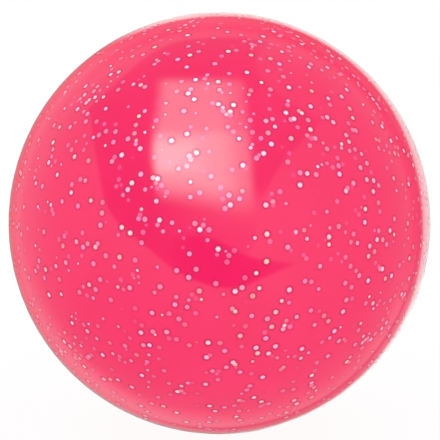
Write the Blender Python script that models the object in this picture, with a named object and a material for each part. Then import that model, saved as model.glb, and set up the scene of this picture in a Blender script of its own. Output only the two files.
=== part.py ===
"""A smooth hockey ball, modelled as it would come apart on a bench.

From the middle outwards: a moulded cork and rubber core, one strand of twine
wound round it from pole to pole, two pink cups that lap at the ball's equator,
and two thin half skins of glitter PVC, with their seam a quarter turn from the
cups' seam. Metres, +Z up, with the origin at the ball's centre.
"""

import math

import bpy
import numpy as np

# Driving sizes
BALL_DIAMETER = 0.0730
SKIN_WALL = 0.0010
COVER_WALL = 0.0046
LAP_HEIGHT = 0.0020
TWINE_DIAMETER = 0.0030
POLE_LOOP_RADIUS = 0.0036

# Clearances: between neighbouring pieces, and between neighbouring turns of twine at the least
FIT_GAP = 0.0003
TURN_GAP = 0.0005

# Facets round each turned piece, points along one turn of the twine, and sides round the twine
SKIN_STEPS = 48
COVER_STEPS = 36
CORE_STEPS = 24
LOOP_POINTS = 24
TWINE_SIDES = 6

# Latitude of a pole
POLE = math.pi / 2

# Colours as linear RGBA, with roughness
CORK_BROWN = ((0.30, 0.15, 0.07, 1.0), 0.85)
TWINE_CREAM = ((0.62, 0.52, 0.36, 1.0), 0.90)
COVER_PINK = ((0.95, 0.021, 0.12, 1.0), 0.35)
GLITTER_PINK = ((0.95, 0.05, 0.16, 1.0), 0.08)


def flat_to_round(steps):
    """How far out the middle of a facet lies on a ball of radius 1 with this many steps round it."""
    return math.cos(math.pi / steps) ** 2


SKIN_OUTER = BALL_DIAMETER / 2
SKIN_INNER = SKIN_OUTER - SKIN_WALL
COVER_OUTER = SKIN_INNER * flat_to_round(SKIN_STEPS) - FIT_GAP
COVER_INNER = COVER_OUTER - COVER_WALL
TWINE_RADIUS = TWINE_DIAMETER / 2
WINDING_RADIUS = COVER_INNER * flat_to_round(COVER_STEPS) - FIT_GAP - TWINE_RADIUS
CORE_RADIUS = WINDING_RADIUS * math.cos(math.pi / LOOP_POINTS) - TWINE_RADIUS - FIT_GAP


def clear_scene():
    for thing in list(bpy.data.objects):
        bpy.data.objects.remove(thing, do_unlink=True)


def material(name, look):
    """A Principled material with this colour and roughness."""
    colour, roughness = look
    made = bpy.data.materials.new(name)
    made.use_nodes = True
    shader = made.node_tree.nodes["Principled BSDF"]
    shader.inputs["Base Color"].default_value = colour
    shader.inputs["Roughness"].default_value = roughness
    shader.inputs["Metallic"].default_value = 0.0
    return made


def latitude(radius, height):
    """The angle above the equator at which a circle about the origin reaches this height."""
    return math.asin(height / radius)


def arc(radius, start, end, steps):
    """Points (x, z) of a circle about the origin, from latitude start to latitude end."""
    segments = round(abs(end - start) / math.tau * steps)
    return [(radius * math.cos(a), radius * math.sin(a)) for a in np.linspace(start, end, segments + 1)]


def turned(name, profile, steps, finish):
    """A piece turned about its Z axis from a profile of (x, z) points that runs down its outer side."""
    mesh = bpy.data.meshes.new(name)
    points = [(x, 0.0, z) for x, z in profile]
    mesh.from_pydata(points, [(i, i + 1) for i in range(len(points) - 1)], [])
    mesh.materials.append(finish)
    piece = bpy.data.objects.new(name, mesh)
    bpy.context.collection.objects.link(piece)
    screw = piece.modifiers.new("turn", "SCREW")
    screw.axis = "Z"
    screw.steps = steps
    screw.render_steps = steps
    screw.use_merge_vertices = True
    screw.merge_threshold = FIT_GAP / 10
    screw.use_smooth_shade = True
    return piece


def core_profile():
    return arc(CORE_RADIUS, POLE, -POLE, CORE_STEPS)


def upper_cup_profile():
    """Outer wall down to the seam, up round the rebate for the lower cup's lip, and back inside."""
    rim = FIT_GAP / 2
    rebate = (COVER_INNER + COVER_OUTER + FIT_GAP) / 2
    ceiling = LAP_HEIGHT + FIT_GAP
    outside = arc(COVER_OUTER, POLE, latitude(COVER_OUTER, rim), COVER_STEPS)
    inside = arc(COVER_INNER, latitude(COVER_INNER, ceiling), POLE, COVER_STEPS)
    return outside + [(rebate, rim), (rebate, ceiling)] + inside


def lower_cup_profile():
    """Inner wall up to the top of the lip, down the lip to the shoulder, and down the outside."""
    shoulder = -FIT_GAP / 2
    lip = (COVER_INNER + COVER_OUTER - FIT_GAP) / 2
    inside = arc(COVER_INNER, -POLE, latitude(COVER_INNER, LAP_HEIGHT), COVER_STEPS)
    outside = arc(COVER_OUTER, latitude(COVER_OUTER, shoulder), -POLE, COVER_STEPS)
    return inside + [(lip, LAP_HEIGHT), (lip, shoulder)] + outside


def half_skin_profile():
    """A thin half shell with its pole up and a square rim."""
    rim = FIT_GAP / 2
    outside = arc(SKIN_OUTER, POLE, latitude(SKIN_OUTER, rim), SKIN_STEPS)
    inside = arc(SKIN_INNER, latitude(SKIN_INNER, rim), POLE, SKIN_STEPS)
    return outside + inside


def twine_path():
    """The twine's centre line: an even spiral over the core, from one pole loop to the other."""
    first = math.asin(POLE_LOOP_RADIUS / WINDING_RADIUS)
    sweep = math.pi - 2 * first
    turns = math.floor(sweep * WINDING_RADIUS / (TWINE_DIAMETER + TURN_GAP))
    points = []
    for share in np.linspace(0.0, 1.0, turns * LOOP_POINTS + 1):
        polar = first + share * sweep
        around = share * turns * math.tau
        ring = WINDING_RADIUS * math.sin(polar)
        points.append((ring * math.cos(around), ring * math.sin(around), WINDING_RADIUS * math.cos(polar)))
    return np.array(points)


def least_gap(path):
    """The least clear distance between two stretches of twine more than half a turn apart."""
    apart = np.linalg.norm(path[:, None] - path[None, :], axis=2)
    order = np.arange(len(path))
    far_along = np.abs(order[:, None] - order[None, :]) > LOOP_POINTS // 2
    return apart[far_along].min() - TWINE_DIAMETER


def wound_twine(name, path, finish):
    """One unbroken strand along the path, with closed ends."""
    curve = bpy.data.curves.new(name, "CURVE")
    curve.dimensions = "3D"
    curve.bevel_depth = TWINE_RADIUS
    curve.bevel_resolution = round(TWINE_SIDES / 2) - 2
    curve.use_fill_caps = True
    spline = curve.splines.new("POLY")
    spline.points.add(len(path) - 1)
    for point, place in zip(spline.points, path):
        point.co = (*place, 1.0)
    spline.use_smooth = True
    curve.materials.append(finish)
    strand = bpy.data.objects.new(name, curve)
    bpy.context.collection.objects.link(strand)
    return strand


def main():
    clear_scene()

    turned("cork_core", core_profile(), CORE_STEPS, material("cork_and_rubber", CORK_BROWN))

    path = twine_path()
    wound_twine("twine_winding", path, material("twine", TWINE_CREAM))
    turns = (len(path) - 1) // LOOP_POINTS
    print(f"twine: {turns} turns, least gap to itself {least_gap(path):.5f} m")

    pink = material("pink_pvc", COVER_PINK)
    turned("upper_cup", upper_cup_profile(), COVER_STEPS, pink)
    turned("lower_cup", lower_cup_profile(), COVER_STEPS, pink)

    glitter = material("glitter_pvc", GLITTER_PINK)
    for name, quarter_turn in (("front_skin", 1), ("back_skin", -1)):
        skin = turned(name, half_skin_profile(), SKIN_STEPS, glitter)
        skin.rotation_euler.x = quarter_turn * math.pi / 2


main()
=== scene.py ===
"""Looks of a pink glitter hockey ball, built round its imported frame.

The skin is one seamless moulded shell with some thousands of hexagonal flakes set
almost flush in it. Under it lie the two cups, a plied twine winding and a cork core.
Everything is in metres, in the frame of the part, with the ball's centre at the origin.
"""

import logging
import math
from dataclasses import dataclass
from enum import Enum

import bpy
import numpy as np
from mathutils import Matrix, Vector

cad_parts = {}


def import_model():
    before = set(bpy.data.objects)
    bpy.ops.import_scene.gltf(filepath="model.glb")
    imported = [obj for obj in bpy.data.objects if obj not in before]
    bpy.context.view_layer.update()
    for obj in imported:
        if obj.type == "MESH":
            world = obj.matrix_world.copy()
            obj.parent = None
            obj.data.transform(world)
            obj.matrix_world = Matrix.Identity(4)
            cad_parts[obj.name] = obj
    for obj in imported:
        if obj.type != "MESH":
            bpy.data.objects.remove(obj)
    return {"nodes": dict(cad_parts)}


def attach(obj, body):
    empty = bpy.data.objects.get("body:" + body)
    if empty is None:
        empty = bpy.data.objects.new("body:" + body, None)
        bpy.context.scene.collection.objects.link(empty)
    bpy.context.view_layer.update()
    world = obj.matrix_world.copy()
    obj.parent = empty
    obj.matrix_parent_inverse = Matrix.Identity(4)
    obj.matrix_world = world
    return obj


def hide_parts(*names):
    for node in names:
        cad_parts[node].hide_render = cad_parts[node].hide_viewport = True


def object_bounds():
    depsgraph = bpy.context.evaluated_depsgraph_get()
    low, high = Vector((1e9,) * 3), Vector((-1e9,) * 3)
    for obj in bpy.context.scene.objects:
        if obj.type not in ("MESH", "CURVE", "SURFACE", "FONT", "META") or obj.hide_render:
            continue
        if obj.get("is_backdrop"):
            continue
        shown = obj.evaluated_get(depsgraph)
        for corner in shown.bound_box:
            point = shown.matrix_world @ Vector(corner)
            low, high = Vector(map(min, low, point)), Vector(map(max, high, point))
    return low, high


MM = 0.001
FRAME_PIXELS = 440
WHITE = "#FFFFFF"
BODY = "root"
LOG = logging.getLogger("hockey_ball")

# A unit vector whose Z is larger than this points nearly straight up
NEARLY_UP = 0.9

# A pair of numbers, the places where a plateau starts to rise, is up, starts to fall and is down,
# a line of points in the picture, a radiance, and the faces of a mesh
Span = tuple[float, float]
Ends = tuple[float, float, float, float]
Stroke = tuple[Span, ...]
Tone = tuple[float, float, float]
Faces = list[tuple[int, ...]]


def linear(colour: str) -> tuple[float, float, float, float]:
    """Turns an sRGB hex value into linear RGBA.

    Args:
        colour: A hex value such as "#F92861".

    Returns:
        The colour as Blender's sockets take it.
    """
    channels = [int(colour[i : i + 2], 16) / 255 for i in (1, 3, 5)]
    red, green, blue = (c / 12.92 if c <= 0.04045 else ((c + 0.055) / 1.055) ** 2.4 for c in channels)
    return red, green, blue, 1.0


def add_node(
    tree: bpy.types.NodeTree,
    kind: str,
    inputs: dict[str | int, object] | None = None,
    **settings: object,
) -> bpy.types.Node:
    """Adds one node with its settings, values and links.

    Args:
        tree: The node tree that gets the node.
        kind: The node's type name.
        inputs: Input name or number to a value, or to the output socket that feeds it.
        **settings: The node's own properties.

    Returns:
        The new node.
    """
    node = tree.nodes.new(kind)
    for name, value in settings.items():
        setattr(node, name, value)
    for name, source in (inputs or {}).items():
        if isinstance(source, bpy.types.NodeSocket):
            tree.links.new(source, node.inputs[name])
        else:
            node.inputs[name].default_value = source
    return node


def new_material(name: str) -> tuple[bpy.types.Material, bpy.types.NodeTree]:
    """Makes an empty node material.

    Args:
        name: The material's name.

    Returns:
        The material and its tree.
    """
    material = bpy.data.materials.new(name)
    material.use_nodes = True
    tree = material.node_tree
    tree.nodes.clear()
    return material, tree


def per_metre(size_mm: float) -> float:
    """Gives the texture scale at which a pattern repeats about every size_mm."""
    return 1.0 / (size_mm * MM)


def ramp(node: bpy.types.Node, stops: list[tuple[float, str]]) -> None:
    """Sets a colour ramp's stops.

    Args:
        node: The ramp.
        stops: Place from 0 to 1 and sRGB hex value of each stop, in order.
    """
    elements = node.color_ramp.elements
    while len(elements) < len(stops):
        elements.new(1.0)
    for element, (place, colour) in zip(elements, stops):
        element.position = place
        element.color = linear(colour)


def deselect() -> None:
    """Leaves object mode's selection empty, so that an operator acts on one new piece alone."""
    bpy.ops.object.select_all(action="DESELECT")


@dataclass(frozen=True)
class GlitterPvc:
    """Plasticised PVC, tinted hot pink and cast in a polished mould.

    It is glossy, with a slow waviness from the mould, and its pigment is a shade uneven.
    """

    pink: str = "#FD2466"
    deep_pink: str = "#FA2062"
    ior: float = 1.52
    roughness: float = 0.09
    cloud_mm: float = 9.0
    cloud_detail: float = 3.0
    cloud_ends: Span = (0.35, 0.65)
    wave_mm: float = 11.0
    wave_detail: float = 1.0
    wave_height_mm: float = 0.004

    def build(self) -> bpy.types.Material:
        """Makes the skin's material.

        Returns:
            The material.
        """
        material, tree = new_material("moulded_glitter_pvc")
        place = add_node(tree, "ShaderNodeTexCoord").outputs["Object"]
        cloud = add_node(
            tree, "ShaderNodeTexNoise",
            {"Vector": place, "Scale": per_metre(self.cloud_mm), "Detail": self.cloud_detail},
        )
        pigment = add_node(tree, "ShaderNodeValToRGB", {"Fac": cloud.outputs["Fac"]})
        ramp(pigment, list(zip(self.cloud_ends, (self.deep_pink, self.pink))))
        wave = add_node(
            tree, "ShaderNodeTexNoise",
            {"Vector": place, "Scale": per_metre(self.wave_mm), "Detail": self.wave_detail},
        )
        bump = add_node(
            tree, "ShaderNodeBump",
            {"Height": wave.outputs["Fac"], "Distance": self.wave_height_mm * MM},
        )
        shader = add_node(
            tree, "ShaderNodeBsdfPrincipled",
            {
                "Base Color": pigment.outputs["Color"],
                "Roughness": self.roughness,
                "IOR": self.ior,
                "Normal": bump.outputs["Normal"],
            },
        )
        add_node(tree, "ShaderNodeOutputMaterial", {"Surface": shader.outputs["BSDF"]})
        return material


@dataclass(frozen=True)
class Film:
    """One film: its piece's name, its share of all flakes, and its colours under some PVC and bare."""

    piece: str
    share: float
    covered: str
    bare: str


class FlakeTint(Enum):
    """The films that the flakes are punched from."""

    SILVER = Film("silver_flakes", 0.24, "#FF8F9E", "#FFFCFA")
    ROSE = Film("rose_flakes", 0.61, "#FF8FB4", "#FFF2F7")
    VIOLET = Film("violet_flakes", 0.12, "#FF8FC2", "#FDE2F8")
    GOLD = Film("gold_flakes", 0.03, "#FF9C94", "#FFEAD0")


@dataclass(frozen=True)
class FlakeFilm:
    """Aluminised polyester film, punched into hexagons and cast into the skin.

    A flake near the surface shows its own colour, and the PVC over a deeper one dims it to pink.
    Here all lie at one depth and untilted, so an attribute of the mesh says how much of the film
    shows and, as a painted glint, how brightly each flake's tilt would catch the light.
    Round a bare flake the rim carries a painted shade, dusky and dull.
    The gloss over the flake itself is the PVC's.
    """

    tint: FlakeTint
    pvc: GlitterPvc
    # The painted shade at the rim of a bare flake.
    shaded: str = "#B02C50"
    deep: str = "#FF4D84"
    pvc_share: float = 0.10
    deep_share: float = 0.18
    covered_share: float = 0.62
    metallic: float = 0.22
    roughness: float = 0.55

    def build(self) -> bpy.types.Material:
        """Makes one film's material.

        Returns:
            The material.
        """
        film = self.tint.value
        material, tree = new_material(film.piece.replace("flakes", "polyester_film"))
        bareness_glint_shade = add_node(tree, "ShaderNodeAttribute", attribute_name="bareness_glint_shade")
        depth = add_node(tree, "ShaderNodeValToRGB", {"Fac": bareness_glint_shade.outputs["Fac"]})
        # From 0 up to the PVC's share the ramp gives the painted shade round a flake's rim; above it, a
        # flake's brightness is partly its depth and partly a painted glint.
        ramp(
            depth,
            [
                (0.0, self.shaded),
                (self.pvc_share, self.pvc.pink),
                (self.deep_share, self.deep),
                (self.covered_share, film.covered),
                (1.0, film.bare),
            ],
        )
        gloss = add_node(
            tree, "ShaderNodeMapRange", {"Value": bareness_glint_shade.outputs["Fac"], "From Max": self.pvc_share}
        )
        shader = add_node(
            tree, "ShaderNodeBsdfPrincipled",
            {
                "Base Color": depth.outputs["Color"],
                "Metallic": self.metallic,
                "Roughness": self.roughness,
                "Specular IOR Level": 0.0,
                "Coat Weight": gloss.outputs["Result"],
                "Coat Roughness": self.pvc.roughness,
                "Coat IOR": self.pvc.ior,
            },
        )
        add_node(tree, "ShaderNodeOutputMaterial", {"Surface": shader.outputs["BSDF"]})
        return material


@dataclass(frozen=True)
class CorkRubber:
    """Ground cork bound with rubber and pressed in a mould: tan granules with dark joints."""

    granule_mm: float = 2.6
    joint: str = "#3B2A20"
    dark_cork: str = "#8A6141"
    pale_cork: str = "#C79B6C"
    cork_ends: Span = (0.2, 0.8)
    joint_share: float = 0.10
    roughness: float = 0.88
    granule_height_mm: float = 0.15

    def build(self) -> bpy.types.Material:
        """Makes the core's material.

        Returns:
            The material.
        """
        material, tree = new_material("pressed_cork_and_rubber")
        place = add_node(tree, "ShaderNodeTexCoord").outputs["Object"]
        scale = per_metre(self.granule_mm)
        granule = add_node(tree, "ShaderNodeTexVoronoi", {"Vector": place, "Scale": scale})
        edge = add_node(
            tree, "ShaderNodeTexVoronoi", {"Vector": place, "Scale": scale}, feature="DISTANCE_TO_EDGE"
        )
        shade = add_node(tree, "ShaderNodeValToRGB", {"Fac": granule.outputs["Color"]})
        ramp(shade, list(zip(self.cork_ends, (self.dark_cork, self.pale_cork))))
        inside = add_node(
            tree, "ShaderNodeMapRange",
            {"Value": edge.outputs["Distance"], "From Max": self.joint_share},
        )
        colour = add_node(
            tree, "ShaderNodeMix",
            {"Factor": inside.outputs["Result"], "A": linear(self.joint), "B": shade.outputs["Color"]},
            data_type="RGBA",
        )
        bump = add_node(
            tree, "ShaderNodeBump",
            {"Height": inside.outputs["Result"], "Distance": self.granule_height_mm * MM},
        )
        shader = add_node(
            tree, "ShaderNodeBsdfPrincipled",
            {
                "Base Color": colour.outputs["Result"],
                "Roughness": self.roughness,
                "Normal": bump.outputs["Normal"],
            },
        )
        add_node(tree, "ShaderNodeOutputMaterial", {"Surface": shader.outputs["BSDF"]})
        return material


@dataclass(frozen=True)
class GrainedFinish:
    """A finish whose one grain both tints the surface and raises it."""

    name: str
    dark: str
    pale: str
    roughness: float
    grain_mm: float
    grain_height_mm: float
    grain_detail: float
    grain_ends: Span
    sheen: float = 0.0

    def build(self) -> bpy.types.Material:
        """Makes the finish's material.

        Returns:
            The material.
        """
        material, tree = new_material(self.name)
        place = add_node(tree, "ShaderNodeTexCoord").outputs["Object"]
        grain = add_node(
            tree, "ShaderNodeTexNoise",
            {"Vector": place, "Scale": per_metre(self.grain_mm), "Detail": self.grain_detail},
        )
        colour = add_node(tree, "ShaderNodeValToRGB", {"Fac": grain.outputs["Fac"]})
        ramp(colour, list(zip(self.grain_ends, (self.dark, self.pale))))
        bump = add_node(
            tree, "ShaderNodeBump",
            {"Height": grain.outputs["Fac"], "Distance": self.grain_height_mm * MM},
        )
        shader = add_node(
            tree, "ShaderNodeBsdfPrincipled",
            {
                "Base Color": colour.outputs["Color"],
                "Roughness": self.roughness,
                "Sheen Weight": self.sheen,
                "Normal": bump.outputs["Normal"],
            },
        )
        add_node(tree, "ShaderNodeOutputMaterial", {"Surface": shader.outputs["BSDF"]})
        return material


@dataclass(frozen=True)
class PinkPvc(GrainedFinish):
    """The cups' rigid PVC, satin from the mould, with a fine moulded grain.

    The grain is drawn coarser than the real one, so that it shows.
    """

    name: str = "moulded_pink_pvc"
    dark: str = "#F9285F"
    pale: str = "#FA3A6B"
    roughness: float = 0.35
    grain_mm: float = 0.8
    grain_height_mm: float = 0.02
    grain_detail: float = 4.0
    grain_ends: Span = (0.3, 0.7)


@dataclass(frozen=True)
class PliedTwine(GrainedFinish):
    """Undyed cotton twine, three soft plies twisted together: cream and matt, with a sheen of fibres.

    Single fibres are too fine to show, so the grain is drawn as coarse as a tuft of them.
    """

    name: str = "plied_cotton_twine"
    dark: str = "#B9A57C"
    pale: str = "#D6C9A8"
    roughness: float = 0.92
    grain_mm: float = 0.35
    grain_height_mm: float = 0.05
    grain_detail: float = 5.0
    grain_ends: Span = (0.35, 0.65)
    sheen: float = 0.2


@dataclass
class ProductCamera:
    """The camera, set so that the ball's outline falls where the photograph has it."""

    ball_radius: float
    centre_px: Span = (219.5, 223.2)
    radius_px: float = 210.9
    elevation_deg: float = 10.0
    lens_mm: float = 135.0
    sensor_mm: float = 36.0
    nearest_seen: float = 0.01

    def __post_init__(self) -> None:
        """Works out the camera's place and its axes."""
        self.focal_px = self.lens_mm / self.sensor_mm * FRAME_PIXELS
        tangent_length = self.focal_px * self.ball_radius / self.radius_px
        distance = math.hypot(tangent_length, self.ball_radius)
        tilt = math.radians(self.elevation_deg)
        self.place = Vector((0.0, -distance * math.cos(tilt), distance * math.sin(tilt)))
        self.forward = -self.place.normalized()
        self.right = Vector((1.0, 0.0, 0.0))
        self.up = self.right.cross(self.forward)

    def build(self) -> None:
        """Makes the camera and sets it as the scene's own."""
        data = bpy.data.cameras.new("product_camera")
        data.lens = self.lens_mm
        data.sensor_width = self.sensor_mm
        middle = FRAME_PIXELS / 2
        data.shift_x = (middle - self.centre_px[0]) / FRAME_PIXELS
        data.shift_y = (self.centre_px[1] - middle) / FRAME_PIXELS
        data.clip_start = self.nearest_seen
        camera = bpy.data.objects.new("product_camera", data)
        bpy.context.scene.collection.objects.link(camera)
        axes = Matrix((self.right, self.up, -self.forward)).transposed()
        camera.matrix_world = Matrix.Translation(self.place) @ axes.to_4x4()
        bpy.context.scene.camera = camera

    def mirrored(self, picture: np.ndarray, reach: float) -> np.ndarray:
        """Finds what the polished ball mirrors at points of the picture.

        Args:
            picture: Points (x, y) in the 440-pixel frame, inside the ball's outline.
            reach: How far from the ball the mirrored points lie.

        Returns:
            One point of the room for each point of the picture.
        """
        offset = picture - np.array(self.centre_px)
        ray = (
            np.array(self.forward) * self.focal_px
            + offset[:, :1] * np.array(self.right)
            - offset[:, 1:] * np.array(self.up)
        )
        ray /= np.linalg.norm(ray, axis=1, keepdims=True)
        along = -ray @ np.array(self.place)
        inside = along**2 - self.place.length_squared + self.ball_radius**2
        hit = np.array(self.place) + ray * (along - np.sqrt(np.maximum(inside, 0.0)))[:, None]
        normal = hit / np.linalg.norm(hit, axis=1, keepdims=True)
        bounce = ray - 2.0 * np.sum(ray * normal, axis=1, keepdims=True) * normal
        return hit + bounce * reach


def smooth_step(low: float | np.ndarray, high: float | np.ndarray, value: np.ndarray) -> np.ndarray:
    """Goes smoothly from 0 at low to 1 at high."""
    share = np.clip((value - low) / (high - low), 0.0, 1.0)
    return share * share * (3.0 - 2.0 * share)


def plateau(ends: Ends, value: np.ndarray) -> np.ndarray:
    """Rises from 0 to 1 between the first two ends and falls to 0 between the last two."""
    return smooth_step(*ends[:2], value) * (1.0 - smooth_step(*ends[2:], value))


def bell(centre: float | np.ndarray, width: float, value: np.ndarray) -> np.ndarray:
    """Rises to 1 at the centre and has fallen to about a third at the width from it."""
    return np.exp(-(((value - centre) / width) ** 2))


def grey(level: np.ndarray) -> np.ndarray:
    """Gives red, green and blue the same level."""
    return np.repeat(level[:, None], 3, axis=1)


def smooth_stroke(points: Stroke, steps: int = 8) -> np.ndarray:
    """Draws a smooth line through points.

    Args:
        points: The points (x, y), at least two.
        steps: How many pieces each stretch is drawn with.

    Returns:
        The line's points, without the last one.
    """
    knots = np.array(points, dtype=float)
    knots = np.vstack([2.0 * knots[0] - knots[1], knots, 2.0 * knots[-1] - knots[-2]])
    t = np.linspace(0.0, 1.0, steps, endpoint=False)[:, None]
    line = []
    for a, b, c, d in zip(knots, knots[1:], knots[2:], knots[3:]):
        bend = (2.0 * a - 5.0 * b + 4.0 * c - d) * t**2 + (3.0 * b - a - 3.0 * c + d) * t**3
        line.append(b + 0.5 * ((c - a) * t + bend))
    return np.vstack(line)


def grid_faces(rows: int, columns: int) -> Faces:
    """Joins a grid of points, written row by row, into quads.

    Args:
        rows: How many rows of quads there are.
        columns: How many quads a row has.

    Returns:
        The faces.
    """
    wide = columns + 1
    return [
        (r * wide + c, r * wide + c + 1, (r + 1) * wide + c + 1, (r + 1) * wide + c)
        for r in range(rows)
        for c in range(columns)
    ]


def filled(outline: np.ndarray, cuts: int = 7) -> tuple[np.ndarray, Faces]:
    """Fills an outline in the picture with small triangles.

    Args:
        outline: The outline's points in order.
        cuts: How often each triangle's sides are cut.

    Returns:
        The points and the faces.
    """
    mesh = bpy.data.meshes.new("filled_outline")
    mesh.from_pydata([(x, y, 0.0) for x, y in outline], [], [tuple(range(len(outline)))])
    flat = bpy.data.objects.new("filled_outline", mesh)
    bpy.context.scene.collection.objects.link(flat)
    deselect()
    flat.select_set(True)
    bpy.context.view_layer.objects.active = flat
    bpy.ops.object.mode_set(mode="EDIT")
    bpy.ops.mesh.select_all(action="SELECT")
    bpy.ops.mesh.quads_convert_to_tris()
    bpy.ops.mesh.subdivide(number_cuts=cuts)
    bpy.ops.object.mode_set(mode="OBJECT")
    points = np.array([v.co[:2] for v in mesh.vertices])
    faces = [tuple(p.vertices) for p in mesh.polygons]
    bpy.data.objects.remove(flat)
    return points, faces


@dataclass(frozen=True)
class DrawnCard:
    """A card whose outline is drawn in the picture, stroke by stroke."""

    name: str
    reach: float
    strokes_px: tuple[Stroke, ...]

    def shape(self) -> tuple[np.ndarray, Faces]:
        """The card's points in the picture, and its faces."""
        return filled(np.vstack([smooth_stroke(stroke) for stroke in self.strokes_px]))


@dataclass(frozen=True)
class TentOpening(DrawnCard):
    """The open front of the tent: dim above and at the side, with a pale flap under the lamp box."""

    name: str = "tent_opening"
    reach: float = 1.6
    strokes_px: tuple[Stroke, ...] = (
        ((280.0, 41.0), (225.0, 37.5), (160.0, 48.5), (89.0, 108.0)),
        ((89.0, 108.0), (97.0, 160.0), (110.0, 212.0), (150.0, 250.0)),
        ((150.0, 250.0), (180.0, 273.0), (232.0, 288.0), (295.0, 264.0)),
        ((295.0, 264.0), (250.0, 257.0)),
        ((250.0, 257.0), (262.0, 197.0)),
        ((262.0, 197.0), (285.0, 160.0), (322.0, 121.0)),
        ((322.0, 121.0), (274.0, 90.0), (256.0, 60.0), (280.0, 41.0)),
    )
    heights_px: tuple[float, ...] = (40.0, 110.0, 230.0)
    levels: tuple[float, ...] = (0.46, 0.38, 0.20)
    flap_glow: float = 0.84
    flap_left_px: Span = (145.0, 245.0)
    flap_top_px: Span = (185.0, 207.0)
    flap_fade_px: Span = (208.0, 238.0)
    flap_fade: float = 0.45
    side_glow: float = 0.16
    side_left_px: Span = (246.0, 262.0)
    side_bottom_px: Span = (180.0, 205.0)

    def glow(self, points: np.ndarray) -> np.ndarray:
        """Works out the opening's radiance.

        Args:
            points: Points of the picture.

        Returns:
            The radiance at each point.
        """
        x, y = points[:, 0], points[:, 1]
        level = np.interp(y, self.heights_px, self.levels)
        flap = smooth_step(*self.flap_left_px, x) * smooth_step(*self.flap_top_px, y)
        level += self.flap_glow * flap * (1.0 - self.flap_fade * smooth_step(*self.flap_fade_px, y))
        side = smooth_step(*self.side_left_px, x) * (1.0 - smooth_step(*self.side_bottom_px, y))
        return grey(level + self.side_glow * side)


@dataclass(frozen=True)
class SoftBox:
    """A lamp box with two panes and a bulb behind one side, which the ball mirrors as a bright window.

    It shines with little red, because the ball's own pink already fills the red of the picture.
    """

    opening: TentOpening
    name: str = "soft_box"
    reach: float = 1.2
    left_px: Stroke = ((161.5, 66.0), (160.5, 100.0), (153.5, 146.0), (156.5, 180.0), (161.0, 222.0))
    right_px: Stroke = ((242.0, 66.0), (250.5, 146.0), (252.0, 180.0), (254.0, 222.0))
    top_px: float = 80.5
    pane_px: Span = (127.0, 139.0)
    edge_px: float = 5.5
    upper_edge_px: float = 9.0
    upper_glow: float = 4.3
    upper_glow_px: float = 108.0
    upper_rise_per_px: float = 0.0175
    lower_glow: float = 7.0
    bulb_glow: float = 3.2
    bulb_height_px: Ends = (132.0, 150.0, 166.0, 176.0)
    bulb_right_px: Span = (182.0, 212.0)
    tone: Tone = (0.35, 1.0, 0.89)
    dim_from_px: float = 214.0
    dim_share: float = 0.50
    fade_px: Span = (171.0, 207.0)
    fade_slope: float = 0.16
    steps: int = 48

    def sides(self, y: np.ndarray) -> tuple[np.ndarray, np.ndarray]:
        """The box's left and right edges in the picture at these heights."""
        left, right = smooth_stroke(self.left_px), smooth_stroke(self.right_px)
        return np.interp(y, left[:, 1], left[:, 0]), np.interp(y, right[:, 1], right[:, 0])

    def shape(self) -> tuple[np.ndarray, Faces]:
        """Lays a grid over the box, a soft edge wider than the box itself.

        Returns:
            The card's points in the picture, and its faces.
        """
        rows = np.linspace(self.top_px - self.edge_px, self.left_px[-1][1], self.steps + 1)
        left, right = self.sides(rows)
        across = np.linspace(0.0, 1.0, self.steps + 1)
        start, end = left - self.upper_edge_px, right + self.edge_px
        x = start[:, None] + (end - start)[:, None] * across
        points = np.column_stack([x.ravel(), np.repeat(rows, self.steps + 1)])
        return points, grid_faces(self.steps, self.steps)

    def glow(self, points: np.ndarray) -> np.ndarray:
        """Works out the radiance: the lamp's own, and at its soft edges that of the opening.

        Args:
            points: Points of the picture.

        Returns:
            The radiance at each point.
        """
        x, y = points[:, 0], points[:, 1]
        left, right = self.sides(y)
        lower = smooth_step(*self.pane_px, y)
        bulb = plateau(self.bulb_height_px, y) * (1.0 - smooth_step(*self.bulb_right_px, x))
        upper_pane = self.upper_glow + self.upper_rise_per_px * (y - self.upper_glow_px)
        pane = upper_pane * (1.0 - lower) + self.lower_glow * lower + self.bulb_glow * bulb
        pane *= 1.0 - self.dim_share * smooth_step(self.dim_from_px, right, x)
        left_edge = self.upper_edge_px + (self.edge_px - self.upper_edge_px) * lower
        cover = 1.0 - smooth_step(*self.fade_px, y - self.fade_slope * (x - left))
        cover *= smooth_step(-left_edge, left_edge, x - left)
        cover *= smooth_step(-self.edge_px, self.edge_px, right - x)
        cover *= smooth_step(-self.edge_px, self.edge_px, y - self.top_px)
        lamp = pane[:, None] * np.array(self.tone)
        return self.opening.glow(points) * (1.0 - cover[:, None]) + lamp * cover[:, None]


@dataclass(frozen=True)
class CameraFront(DrawnCard):
    """The dark camera in the tent's opening, paler where its sides turn away."""

    name: str = "camera_front"
    reach: float = 1.4
    strokes_px: tuple[Stroke, ...] = (
        ((148.0, 242.0), (205.0, 236.0), (250.0, 257.0), (295.0, 264.0)),
        ((295.0, 264.0), (232.0, 288.0), (180.0, 273.0), (148.0, 242.0)),
    )
    dark_px: Ends = (150.0, 195.0, 245.0, 285.0)
    end_glow: float = 0.26

    def glow(self, points: np.ndarray) -> np.ndarray:
        """The camera's radiance at points of the picture."""
        return grey(self.end_glow * (1.0 - plateau(self.dark_px, points[:, 0])))


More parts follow.
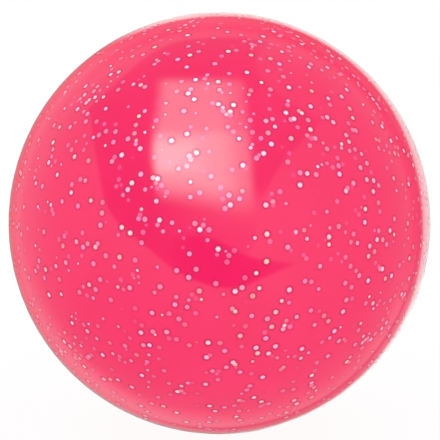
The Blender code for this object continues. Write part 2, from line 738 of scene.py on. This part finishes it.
@dataclass(frozen=True)
class Backdrop:
    """The paper behind the ball, warm with the ball's own colour.

    The ball mirrors it along its outline, with a dim gap in it and a bright panel at the right.
    Angles are in degrees, clockwise from the right, and radii are shares of the outline's own.
    A lift, a bow or a widening lies round its angle, which is given as a middle and a width.
    """

    centre_px: Span
    radius_px: float
    name: str = "backdrop"
    reach: float = 1.5
    inner: float = 0.89
    outer: float = 1.0
    rings: int = 44
    spokes: int = 120
    room_angles: tuple[float, ...] = (-180.0, -135.0, -45.0, 45.0, 135.0, 180.0)
    room_levels: tuple[float, ...] = (0.77, 0.80, 0.70, 0.65, 0.58, 0.77)
    paper_level: float = 0.65
    paper_share: float = 0.932
    shade: float = 0.34
    shade_angles: Ends = (-140.0, -105.0, 2.0, 26.0)
    low_lift: float = 0.18
    low_angle: Span = (120.0, 40.0)
    corner_lift: float = 0.13
    corner_angle: Span = (32.0, 14.0)
    top_lift: float = 0.11
    top_angle: Span = (-97.0, 15.0)
    fall: float = 0.30
    shade_fall: float = 0.20
    fall_shares: Span = (0.953, 0.983)
    red: float = 0.97
    red_fall: float = 0.45
    red_shares: Span = (0.978, 0.999)
    blue_of_green: float = 0.98
    gap_tone: Tone = (0.60, 0.24, 0.26)
    gap_angles: tuple[float, ...] = (-75.0, -30.0, 15.0, 50.0, 90.0, 130.0)
    gap_shares: tuple[float, ...] = (0.928, 0.944, 0.951, 0.964, 0.975, 0.984)
    gap_ends: Ends = (-75.0, -45.0, 85.0, 130.0)
    gap_width: float = 0.007
    panel_tone: Tone = (1.08, 1.42, 1.35)
    panel_ends: Ends = (-125.0, -105.0, 68.0, 92.0)
    panel_share: float = 0.986
    panel_soft: float = 0.006
    bow: float = 0.023
    bow_angle: Span = (-5.0, 27.0)
    taper: float = 0.008
    taper_angles: Span = (30.0, 84.0)
    top_widening: float = 0.0045
    seam_red: float = 0.30
    seam_inset: float = 0.011
    seam_width: float = 0.007
    dim: float = 0.15
    dim_relief: float = 0.32
    dim_angles: Span = (8.0, 28.0)
    dim_shares: Span = (0.980, 0.995)
    rim_tone: Tone = (0.04, -0.20, -0.18)
    rim_shares: Span = (0.993, 1.0)

    def shape(self) -> tuple[np.ndarray, Faces]:
        """Lays a grid of rings and spokes along the ball's outline.

        Returns:
            The card's points in the picture, and its faces.
        """
        turn = np.radians(np.linspace(-180.0, 180.0, self.spokes + 1))
        circle = np.column_stack([np.cos(turn), np.sin(turn)])
        shares = np.linspace(self.inner, self.outer, self.rings + 1)
        points = np.vstack([circle * self.radius_px * share for share in shares])
        return points + np.array(self.centre_px), grid_faces(self.rings, self.spokes)

    def paper(self, share: np.ndarray, angle: np.ndarray, seam: np.ndarray) -> np.ndarray:
        """Works out the paper's own radiance, with the dim gap in it.

        Args:
            share: The radius at each point.
            angle: The angle at each point.
            seam: How much red each point loses beside the panel.

        Returns:
            The radiance at each point.
        """
        shade = plateau(self.shade_angles, angle)
        level = self.paper_level - self.shade * shade + self.low_lift * bell(*self.low_angle, angle)
        level += self.corner_lift * bell(*self.corner_angle, angle)
        level += self.top_lift * bell(*self.top_angle, angle)
        green = np.interp(angle, self.room_angles, self.room_levels)
        green += (level - green) * smooth_step(self.inner, self.paper_share, share)
        green -= (self.fall - self.shade_fall * shade) * smooth_step(*self.fall_shares, share)
        red = self.red - self.red_fall * smooth_step(*self.red_shares, share) - seam
        tone = np.stack([red, green, green * self.blue_of_green], axis=1)
        gap_place = np.interp(angle, self.gap_angles, self.gap_shares)
        gap = bell(gap_place, self.gap_width, share) * plateau(self.gap_ends, angle)
        return tone * (1.0 - gap[:, None]) + np.array(self.gap_tone) * gap[:, None]

    def panel(self, share: np.ndarray, angle: np.ndarray) -> np.ndarray:
        """Works out the bright panel's radiance.

        Args:
            share: The radius at each point.
            angle: The angle at each point.

        Returns:
            The radiance at each point.
        """
        dim = self.dim - self.dim_relief * smooth_step(*self.dim_angles, angle)
        bright = np.array(self.panel_tone) * (1.0 - dim * smooth_step(*self.dim_shares, share))[:, None]
        return bright + smooth_step(*self.rim_shares, share)[:, None] * np.array(self.rim_tone)

    def glow(self, points: np.ndarray) -> np.ndarray:
        """Works out the radiance of the paper and of the panel over it.

        Args:
            points: Points of the picture.

        Returns:
            The radiance at each point.
        """
        offset = (points - np.array(self.centre_px)) / self.radius_px
        share = np.hypot(offset[:, 0], offset[:, 1])
        angle = np.degrees(np.arctan2(offset[:, 1], offset[:, 0]))
        ends = plateau(self.panel_ends, angle)
        edge = self.panel_share - self.bow * bell(*self.bow_angle, angle)
        edge += self.taper * smooth_step(*self.taper_angles, angle)
        edge -= self.top_widening * bell(*self.top_angle, angle)
        seam = self.seam_red * ends * bell(edge - self.seam_inset, self.seam_width, share)
        cover = (smooth_step(-self.panel_soft, self.panel_soft, share - edge) * ends)[:, None]
        return self.paper(share, angle, seam) * (1.0 - cover) + self.panel(share, angle) * cover


@dataclass
class Studio:
    """A white tent on a white table, with what the ball mirrors of the room."""

    camera: ProductCamera
    floor_height: float
    light: float = 1.03
    tent_front: float = 1.05
    tent_sides: Span = (0.80, 0.71)
    table_sides: Span = (0.70, 0.92)
    side_fade: Span = (-0.7, 0.7)
    depth_fade: Span = (-0.8, 0.3)
    height_fade: Span = (-0.8, 0.1)
    floor_width: float = 12.0
    shadow_share: float = 0.06

    def build(self) -> None:
        """Sets the view, the world, the table and the cards."""
        bpy.context.scene.view_settings.view_transform = "Standard"
        self.hang_tent()
        self.lay_table()
        finish = self.card_finish()
        opening = TentOpening()
        backdrop = Backdrop(self.camera.centre_px, self.camera.radius_px)
        for card in (opening, SoftBox(opening), CameraFront(), backdrop):
            self.hang(card, finish)

    def hang_tent(self) -> None:
        """Makes the world: white to the eye, and a soft tent to the ball's polish."""
        world = bpy.data.worlds.new("white_tent")
        bpy.context.scene.world = world
        world.use_nodes = True
        tree = world.node_tree
        tree.nodes.clear()
        path = add_node(tree, "ShaderNodeLightPath")
        direction = add_node(tree, "ShaderNodeTexCoord").outputs["Generated"]
        axes = add_node(tree, "ShaderNodeSeparateXYZ", {"Vector": direction})
        across, deep, high = (
            {"Value": axes.outputs[axis], "From Min": fade[0], "From Max": fade[1]}
            for axis, fade in (("X", self.side_fade), ("Y", self.depth_fade), ("Z", self.height_fade))
        )
        tent, table = (
            add_node(tree, "ShaderNodeMapRange", {**across, "To Min": left, "To Max": right})
            for left, right in (self.tent_sides, self.table_sides)
        )
        depth = add_node(
            tree, "ShaderNodeMapRange",
            {**deep, "To Min": self.tent_front, "To Max": tent.outputs["Result"]},
        )
        height = add_node(
            tree, "ShaderNodeMapRange",
            {**high, "To Min": table.outputs["Result"]},
            interpolation_type="SMOOTHSTEP",
        )
        room = add_node(
            tree, "ShaderNodeMath",
            {0: depth.outputs["Result"], 1: height.outputs["Result"]},
            operation="MULTIPLY",
        )
        seen = add_node(
            tree, "ShaderNodeMix",
            {"Factor": path.outputs["Is Camera Ray"], "A": self.light, "B": 1.0},
        )
        strength = add_node(
            tree, "ShaderNodeMix",
            {
                "Factor": path.outputs["Is Glossy Ray"],
                "A": seen.outputs["Result"],
                "B": room.outputs["Value"],
            },
        )
        light = add_node(
            tree, "ShaderNodeBackground",
            {"Color": linear(WHITE), "Strength": strength.outputs["Result"]},
        )
        add_node(tree, "ShaderNodeOutputWorld", {"Surface": light.outputs["Background"]})

    def lay_table(self) -> None:
        """Makes the white table, which keeps a faint shadow of the ball."""
        deselect()
        bpy.ops.mesh.primitive_plane_add(size=self.floor_width, location=(0.0, 0.0, self.floor_height))
        table = bpy.context.object
        table.name = "white_table"
        material, tree = new_material("white_laminate")
        path = add_node(tree, "ShaderNodeLightPath")
        seen = add_node(
            tree, "ShaderNodeMath",
            {0: path.outputs["Is Camera Ray"], 1: 1.0 - self.shadow_share},
            operation="MULTIPLY",
        )
        matt = add_node(tree, "ShaderNodeBsdfDiffuse", {"Color": linear(WHITE)})
        white = add_node(tree, "ShaderNodeEmission", {"Color": linear(WHITE)})
        mix = add_node(
            tree, "ShaderNodeMixShader",
            {"Fac": seen.outputs["Value"], 1: matt.outputs["BSDF"], 2: white.outputs["Emission"]},
        )
        add_node(tree, "ShaderNodeOutputMaterial", {"Surface": mix.outputs["Shader"]})
        table.data.materials.append(material)
        table.visible_diffuse = False
        table.visible_glossy = False
        table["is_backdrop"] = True

    def card_finish(self) -> bpy.types.Material:
        """Makes the cards' glow, read from each card's attribute "glow".

        Returns:
            The material.
        """
        material, tree = new_material("card_glow")
        glow = add_node(tree, "ShaderNodeAttribute", attribute_name="glow")
        light = add_node(tree, "ShaderNodeEmission", {"Color": glow.outputs["Color"]})
        add_node(tree, "ShaderNodeOutputMaterial", {"Surface": light.outputs["Emission"]})
        return material

    def hang(
        self, source: TentOpening | SoftBox | CameraFront | Backdrop, finish: bpy.types.Material
    ) -> None:
        """Hangs a card in the room where the ball mirrors it, seen by the ball's polish alone.

        Args:
            source: What the card stands for, which gives its shape, its glow and its distance.
            finish: The cards' material.
        """
        points, faces = source.shape()
        mesh = bpy.data.meshes.new(source.name)
        mesh.from_pydata(self.camera.mirrored(points, source.reach).tolist(), [], faces)
        glow = np.column_stack([source.glow(points), np.ones(len(points))])
        level = mesh.attributes.new("glow", "FLOAT_COLOR", "POINT")
        level.data.foreach_set("color", glow.astype(np.float32).ravel())
        mesh.materials.append(finish)
        card = bpy.data.objects.new(source.name, mesh)
        bpy.context.scene.collection.objects.link(card)
        for ray in ("camera", "diffuse", "transmission", "volume_scatter", "shadow"):
            setattr(card, f"visible_{ray}", False)
        card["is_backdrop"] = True


@dataclass
class GlitterSkin:
    """The ball's outer skin: one seamless shell over both moulded halves."""

    radius: float
    wall: float = 1.0 * MM
    cuts: int = 63

    def build(self, finish: bpy.types.Material) -> bpy.types.Object:
        """Models the shell and dresses it.

        Args:
            finish: The skin's material.

        Returns:
            The skin, riding on the ball's body.
        """
        deselect()
        bpy.ops.mesh.primitive_cube_add(size=2.0 * self.radius / math.sqrt(3.0))
        skin = bpy.context.object
        skin.name = "glitter_skin"
        bpy.ops.object.mode_set(mode="EDIT")
        bpy.ops.mesh.select_all(action="SELECT")
        bpy.ops.mesh.subdivide(number_cuts=self.cuts)
        bpy.ops.mesh.select_all(action="SELECT")
        bpy.ops.transform.tosphere(value=1.0)
        bpy.ops.object.mode_set(mode="OBJECT")
        reach = max(v.co.length for v in skin.data.vertices)
        skin.scale = (self.radius / reach,) * 3
        bpy.ops.object.transform_apply(location=False, rotation=False, scale=True)
        wall = skin.modifiers.new("wall", "SOLIDIFY")
        wall.thickness = self.wall
        wall.offset = -1.0
        bpy.ops.object.modifier_apply(modifier=wall.name)
        bpy.ops.object.shade_smooth()
        skin.data.materials.append(finish)
        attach(skin, BODY)
        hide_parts("front_skin", "back_skin")
        return skin


@dataclass(frozen=True)
class FlakePlaces:
    """How flakes lie in the skin: one row of each array for each flake."""

    directions: np.ndarray
    sizes: np.ndarray
    heights: np.ndarray
    turns: np.ndarray
    bareness_glint_shade: np.ndarray

    def only(self, rows: np.ndarray) -> "FlakePlaces":
        """The places of some flakes alone."""
        every = (self.directions, self.sizes, self.heights, self.turns, self.bareness_glint_shade)
        return FlakePlaces(*(values[rows] for values in every))


@dataclass
class GlitterFlakes:
    """Some thousands of hexagons of film, set in the skin and a hair proud of it, so that they show.

    Each flake has a cell of its own in the bake map. The values named for the cell, the sides
    and the back are shares of that cell.
    """

    ball_radius: float
    count: int = 3350
    flake_radius: float = 0.845 * MM
    largest: float = 1.06
    size_drop: float = 0.52
    size_power: int = 3
    thickness: float = 0.05 * MM
    rim: float = 0.285 * MM
    slope: float = 0.19 * MM
    crown: float = 0.009 * MM
    proud: Span = (0.012 * MM, 0.014 * MM)
    # How bare a flake is drawn: partly its depth under the PVC, partly a painted glint.
    bareness_glint_shade: Span = (0.10, 0.88)
    # The outer loop of a rim matches the PVC; the loop inside it is a painted shade, darker the barer
    # the flake.
    rim_bareness_shade: float = 0.10
    spacing: float = 1.10 * MM
    touching: float = 0.55 * MM
    pair_share: float = 0.26
    pair_reach: float = 0.75 * MM
    seed: int = 2604
    cell_middle: float = 0.54
    cell_reach: float = 0.42
    cell_corner: float = 0.07
    side_reach: float = 0.05
    back_reach: float = 0.03

    def model_flake(self) -> bpy.types.Object:
        """Models one flake at the origin: a punched hexagon with its rim pressed down in two steps.

        Returns:
            The flake.
        """
        deselect()
        bpy.ops.mesh.primitive_cylinder_add(vertices=6, radius=self.flake_radius, depth=self.thickness)
        flake = bpy.context.object
        bpy.ops.object.mode_set(mode="EDIT")
        bpy.ops.mesh.select_mode(type="FACE")
        bpy.ops.mesh.select_all(action="DESELECT")
        bpy.ops.object.mode_set(mode="OBJECT")
        for face in flake.data.polygons:
            face.select = face.normal.z > NEARLY_UP
        bpy.ops.object.mode_set(mode="EDIT")
        for width in (self.rim, self.slope):
            bpy.ops.mesh.inset(thickness=width, depth=self.crown)
        bpy.ops.object.mode_set(mode="OBJECT")
        return flake

    def scatter(self, draw: np.random.Generator) -> np.ndarray:
        """Picks directions at random and well apart, but for some that lie against another.

        Args:
            draw: The source of random numbers.

        Returns:
            One unit vector for each flake.
        """
        found = np.zeros((0, 3))
        while len(found) < self.count:
            direction = draw.normal(size=3)
            least = self.spacing / self.ball_radius
            if len(found) and draw.random() < self.pair_share:
                shift = draw.normal(size=3) * self.pair_reach / self.ball_radius
                direction = found[draw.integers(len(found))] + shift
                least = self.touching / self.ball_radius
            direction /= np.linalg.norm(direction)
            if len(found) == 0 or np.linalg.norm(found - direction, axis=1).min() > least:
                found = np.vstack([found, direction])
        return found

    def build(self, pvc: GlitterPvc) -> list[bpy.types.Object]:
        """Models the flakes of each film and dresses them.

        Args:
            pvc: The skin's finish, which covers the flakes.

        Returns:
            One piece for each film.
        """
        draw = np.random.default_rng(self.seed)
        low, high = self.bareness_glint_shade
        places = FlakePlaces(
            directions=self.scatter(draw),
            sizes=self.largest - self.size_drop * draw.random(self.count) ** self.size_power,
            heights=draw.uniform(*self.proud, self.count),
            turns=draw.uniform(0.0, math.tau, self.count),
            bareness_glint_shade=low + (high - low) * draw.random(self.count),
        )
        film = draw.random(self.count)
        flake = self.model_flake()
        pieces = []
        floor = 0.0
        for tint in FlakeTint:
            ceiling = floor + tint.value.share
            chosen = np.flatnonzero((film >= floor) & (film < ceiling))
            floor = ceiling
            piece = self.copy_flakes(tint.value.piece, flake.data, places.only(chosen))
            piece.data.materials.append(FlakeFilm(tint, pvc).build())
            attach(piece, BODY)
            pieces.append(piece)
        bpy.data.objects.remove(flake)
        return pieces

    def copy_flakes(self, name: str, flake: bpy.types.Mesh, places: FlakePlaces) -> bpy.types.Object:
        """Copies the flake to each place, as one mesh.

        The copies are shaded as the ball is, because the PVC's polished surface runs on over them.

        Args:
            name: The piece's name.
            flake: The flake's mesh at the origin.
            places: How the copies lie.

        Returns:
            The piece.
        """
        shape = np.array([v.co[:] for v in flake.vertices])
        faces = [list(p.vertices) for p in flake.polygons]
        count = len(places.directions)
        spots = self.spread(shape, places)
        mesh = bpy.data.meshes.new(name)
        every_face = [[v + k * len(shape) for v in face] for k in range(count) for face in faces]
        mesh.from_pydata(spots.reshape(-1, 3).tolist(), [], every_face)
        outward = spots / np.linalg.norm(spots, axis=2, keepdims=True)
        mesh.normals_split_custom_set_from_vertices(outward.reshape(-1, 3).tolist())
        level = mesh.attributes.new("bareness_glint_shade", "FLOAT", "POINT")
        level.data.foreach_set("value", self.bareness_glint_shade_shares(shape, places).astype(np.float32).ravel())
        uv = mesh.uv_layers.new(name="OFBake")
        uv.data.foreach_set("uv", self.bake_map(flake, count).astype(np.float32).ravel())
        piece = bpy.data.objects.new(name, mesh)
        bpy.context.scene.collection.objects.link(piece)
        return piece

    def spread(self, shape: np.ndarray, places: FlakePlaces) -> np.ndarray:
        """Works out where the copies' points lie.

        Args:
            shape: The flake's points at the origin.
            places: How the copies lie.

        Returns:
            One row of points for each copy.
        """
        out = places.directions
        helper = np.where(np.abs(out[:, 2:]) < NEARLY_UP, [[0.0, 0.0, 1.0]], [[1.0, 0.0, 0.0]])
        east = np.cross(helper, out)
        east /= np.linalg.norm(east, axis=1, keepdims=True)
        north = np.cross(out, east)
        cos, sin = np.cos(places.turns)[:, None], np.sin(places.turns)[:, None]
        side, ahead = east * cos + north * sin, north * cos - east * sin
        centre = out * (self.ball_radius + places.heights)[:, None]
        x, y, z = (shape[None, :, axis, None] for axis in range(3))
        flat = (side[:, None] * x + ahead[:, None] * y) * places.sizes[:, None, None]
        return centre[:, None] + flat + out[:, None] * (z - shape[:, 2].max())

    def bareness_glint_shade_shares(self, shape: np.ndarray, places: FlakePlaces) -> np.ndarray:
        """Works out each copy's levels: the middle by its flake, the inner ring a painted shade that is
        darkest round a bare flake, and the rest as the PVC.

        Args:
            shape: The flake's points at the origin.
            places: How the copies lie.

        Returns:
            One row of shares for each copy.
        """
        steps_down = np.round((shape[:, 2].max() - shape[:, 2]) / self.crown)
        share = places.bareness_glint_shade[:, None]
        # The inner ring is a painted shade: the barer the flake, the darker its ring.
        ring = np.where(steps_down == 1, self.rim_bareness_shade * (1.0 - share), self.rim_bareness_shade)
        return np.where(steps_down == 0, share, ring)

    def bake_map(self, flake: bpy.types.Mesh, count: int) -> np.ndarray:
        """Lays each copy out flat in a cell of its own, with its hidden faces small in a corner.

        Args:
            flake: The flake's mesh at the origin.
            count: How many copies there are.

        Returns:
            One row of points of the map for each copy, one point for each corner of each face.
        """
        spots = []
        for face in flake.polygons:
            for vertex in face.vertices:
                x, y, z = flake.vertices[vertex].co / self.flake_radius
                middle, reach = self.cell_middle, self.cell_reach
                if face.normal.z < NEARLY_UP:
                    middle = self.cell_corner
                    reach = self.side_reach if z > 0.0 else self.back_reach
                spots.append((middle + reach * x, middle + reach * y))
        cells = math.ceil(math.sqrt(count))
        corner = np.stack([np.arange(count) % cells, np.arange(count) // cells], axis=1)
        return (corner[:, None] + np.array(spots)[None]) / cells


@dataclass
class TwineWinding:
    """One strand of three-ply twine, wound over the core from pole to pole."""

    winding_radius: float = 28.42 * MM
    twine_diameter: float = 3.0 * MM
    pole_loop_radius: float = 3.6 * MM
    turns: int = 23
    plies: int = 3
    lay: float = 12.0 * MM
    points_per_lay: int = 9
    samples_per_turn: int = 240
    ply_sides: int = 6

    def centre_line(self, shares: np.ndarray) -> np.ndarray:
        """Follows the strand's centre line from the upper pole to the lower one.

        Args:
            shares: How far along the points lie, from 0 to 1 in polar angle.

        Returns:
            The points.
        """
        first = math.asin(self.pole_loop_radius / self.winding_radius)
        polar = first + shares * (math.pi - 2.0 * first)
        around = shares * self.turns * math.tau
        ring = np.sin(polar)
        unit = np.stack([ring * np.cos(around), ring * np.sin(around), np.cos(polar)], axis=1)
        return unit * self.winding_radius

    def even_points(self) -> tuple[np.ndarray, np.ndarray]:
        """Spaces points evenly along the strand's centre line.

        Returns:
            The points, and each one's distance along the strand.
        """
        fine = np.linspace(0.0, 1.0, self.turns * self.samples_per_turn + 1)
        steps = np.linalg.norm(np.diff(self.centre_line(fine), axis=0), axis=1)
        run = np.concatenate([[0.0], np.cumsum(steps)])
        count = math.ceil(run[-1] / self.lay * self.points_per_lay)
        along = np.linspace(0.0, run[-1], count + 1)
        return self.centre_line(np.interp(along, run, fine)), along

    def build(self, finish: bpy.types.Material) -> bpy.types.Object:
        """Models the plies and dresses them.

        Args:
            finish: The twine's material.

        Returns:
            The winding, riding on the ball's body.
        """
        line, along = self.even_points()
        out = line / self.winding_radius
        ahead = np.gradient(line, axis=0)
        ahead /= np.linalg.norm(ahead, axis=1, keepdims=True)
        aside = np.cross(ahead, out)
        twine_radius = self.twine_diameter / 2.0
        ply_radius = twine_radius / (1.0 + 1.0 / math.sin(math.pi / self.plies))
        offset = twine_radius - ply_radius
        strands = []
        for k in range(self.plies):
            turn = math.tau * (along / self.lay + k / self.plies)
            path = line + offset * (np.cos(turn)[:, None] * out + np.sin(turn)[:, None] * aside)
            strands.append(self.model_ply(f"twine_ply_{k}", path, ply_radius))
        deselect()
        for strand in strands:
            strand.select_set(True)
        bpy.context.view_layer.objects.active = strands[0]
        bpy.ops.object.convert(target="MESH")
        bpy.ops.object.join()
        winding = bpy.context.object
        winding.name = "plied_twine_winding"
        winding.data.materials.clear()
        winding.data.materials.append(finish)
        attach(winding, BODY)
        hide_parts("twine_winding")
        return winding

    def model_ply(self, name: str, path: np.ndarray, radius: float) -> bpy.types.Object:
        """Models one ply as a round strand with closed ends.

        Args:
            name: The ply's name.
            path: The points that it follows.
            radius: Its radius.

        Returns:
            The ply, as a curve.
        """
        curve = bpy.data.curves.new(name, "CURVE")
        curve.dimensions = "3D"
        curve.bevel_depth = radius
        curve.bevel_resolution = self.ply_sides // 2 - 2
        curve.use_fill_caps = True
        spline = curve.splines.new("POLY")
        spline.points.add(len(path) - 1)
        spline.points.foreach_set("co", np.column_stack([path, np.ones(len(path))]).ravel())
        spline.use_smooth = True
        ply = bpy.data.objects.new(name, curve)
        bpy.context.scene.collection.objects.link(ply)
        return ply


@dataclass(frozen=True)
class MouldedInside:
    """A sub-assembly that keeps the shape of its solids: the core, or the two cups."""

    solids: tuple[bpy.types.Object, ...]

    def dress(self, finish: bpy.types.Material) -> list[bpy.types.Object]:
        """Gives the solids their finish.

        Args:
            finish: Their material.

        Returns:
            The solids.
        """
        for solid in self.solids:
            for slot in solid.material_slots:
                slot.material = finish
        return list(self.solids)


def main() -> None:
    """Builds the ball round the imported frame."""
    logging.basicConfig(level=logging.INFO, format="%(name)s: %(message)s")
    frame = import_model()
    cad_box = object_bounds()
    radius = cad_box[1].z
    nodes = frame["nodes"]
    camera = ProductCamera(radius)
    camera.build()
    Studio(camera, cad_box[0].z).build()
    made = MouldedInside((nodes["cork_core"],)).dress(CorkRubber().build())
    made += MouldedInside((nodes["upper_cup"], nodes["lower_cup"])).dress(PinkPvc().build())
    made.append(TwineWinding().build(PliedTwine().build()))
    pvc = GlitterPvc()
    made.append(GlitterSkin(radius).build(pvc.build()))
    made += GlitterFlakes(radius).build(pvc)
    for piece in made:
        LOG.info("%s: %d faces", piece.name, len(piece.data.polygons))


if __name__ == "__main__":
    main()
